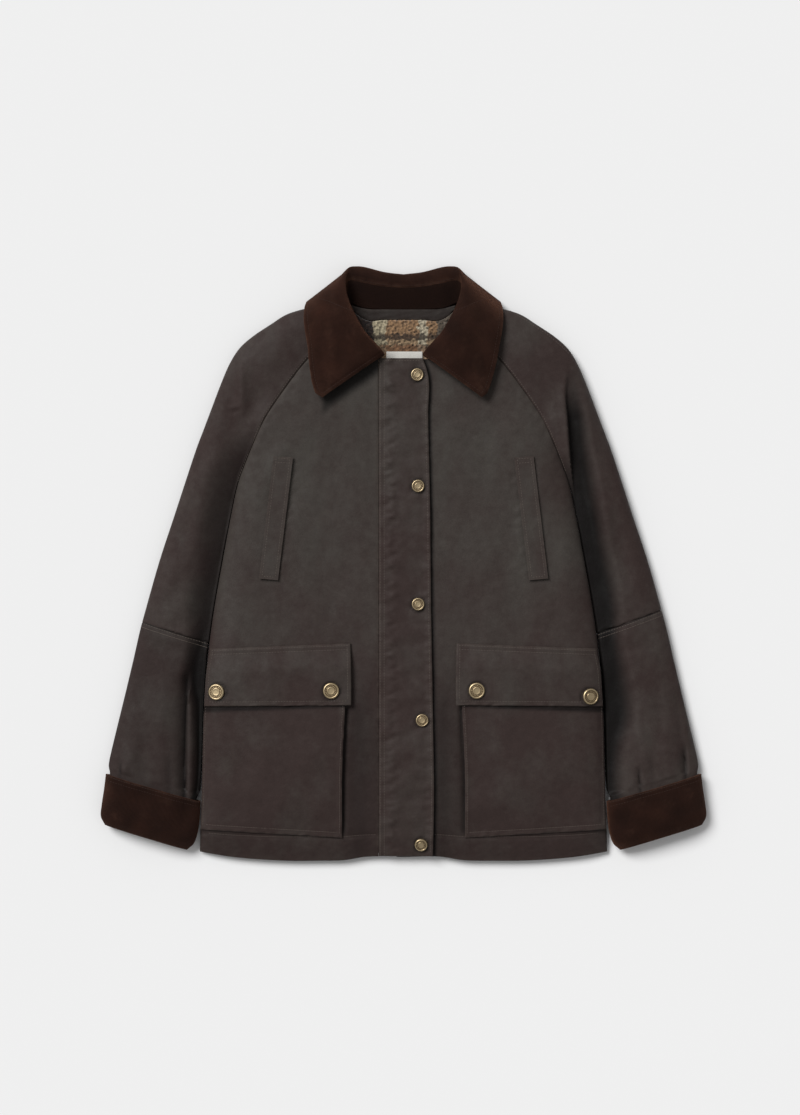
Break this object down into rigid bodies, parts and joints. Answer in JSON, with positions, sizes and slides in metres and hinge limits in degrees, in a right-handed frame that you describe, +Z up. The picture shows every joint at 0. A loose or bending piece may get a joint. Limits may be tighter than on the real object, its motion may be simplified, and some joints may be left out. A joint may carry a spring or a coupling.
{
  "type": "waxed cotton jacket",
  "caption": "Short raglan jacket in brown waxed cotton with corduroy collar and turned-back cuffs, fleece neck lining, snap placket and bellows pockets, laid flat on its back",
  "frame": {"origin": "middle of the jacket's outline, on the surface it lies on", "axes": "+X to the right and +Y from hem to collar, looking down on the front; +Z up from the surface"},
  "size_m": [0.7042, 0.6924, 0.0395],
  "materials": {
    "waxed_cotton": "waxed cotton, dry with a low sheen",
    "corduroy": "fine-wale cotton corduroy with a brushed nap",
    "fleece": "looped fleece woven in a plaid",
    "label": "plain woven label",
    "brass": "antique brass, darkened in its ring"
  },
  "bodies": {
    "root": {"front_right": "waxed_cotton", "front_left": "waxed_cotton", "back": "waxed_cotton", "placket": "waxed_cotton", "neck_facing": "waxed_cotton", "sleeve_front_right": "waxed_cotton", "sleeve_back_right": "waxed_cotton", "sleeve_lower_right": "waxed_cotton", "pocket_right": "waxed_cotton", "pocket_flap_right": "waxed_cotton", "chest_welt_right": "waxed_cotton", "cuff_right": "corduroy", "sleeve_front_left": "waxed_cotton", "sleeve_back_left": "waxed_cotton", "sleeve_lower_left": "waxed_cotton", "pocket_left": "waxed_cotton", "pocket_flap_left": "waxed_cotton", "chest_welt_left": "waxed_cotton", "cuff_left": "corduroy", "collar_stand": "corduroy", "collar_fall": "corduroy", "neck_lining": "fleece", "neck_label": "label", "placket_snap_1": "brass", "placket_snap_2": "brass", "placket_snap_3": "brass", "placket_snap_4": "brass", "placket_snap_5": "brass", "pocket_snap_right_1": "brass", "pocket_snap_right_2": "brass", "pocket_snap_left_1": "brass", "pocket_snap_left_2": "brass"}
  },
  "joints": []
}
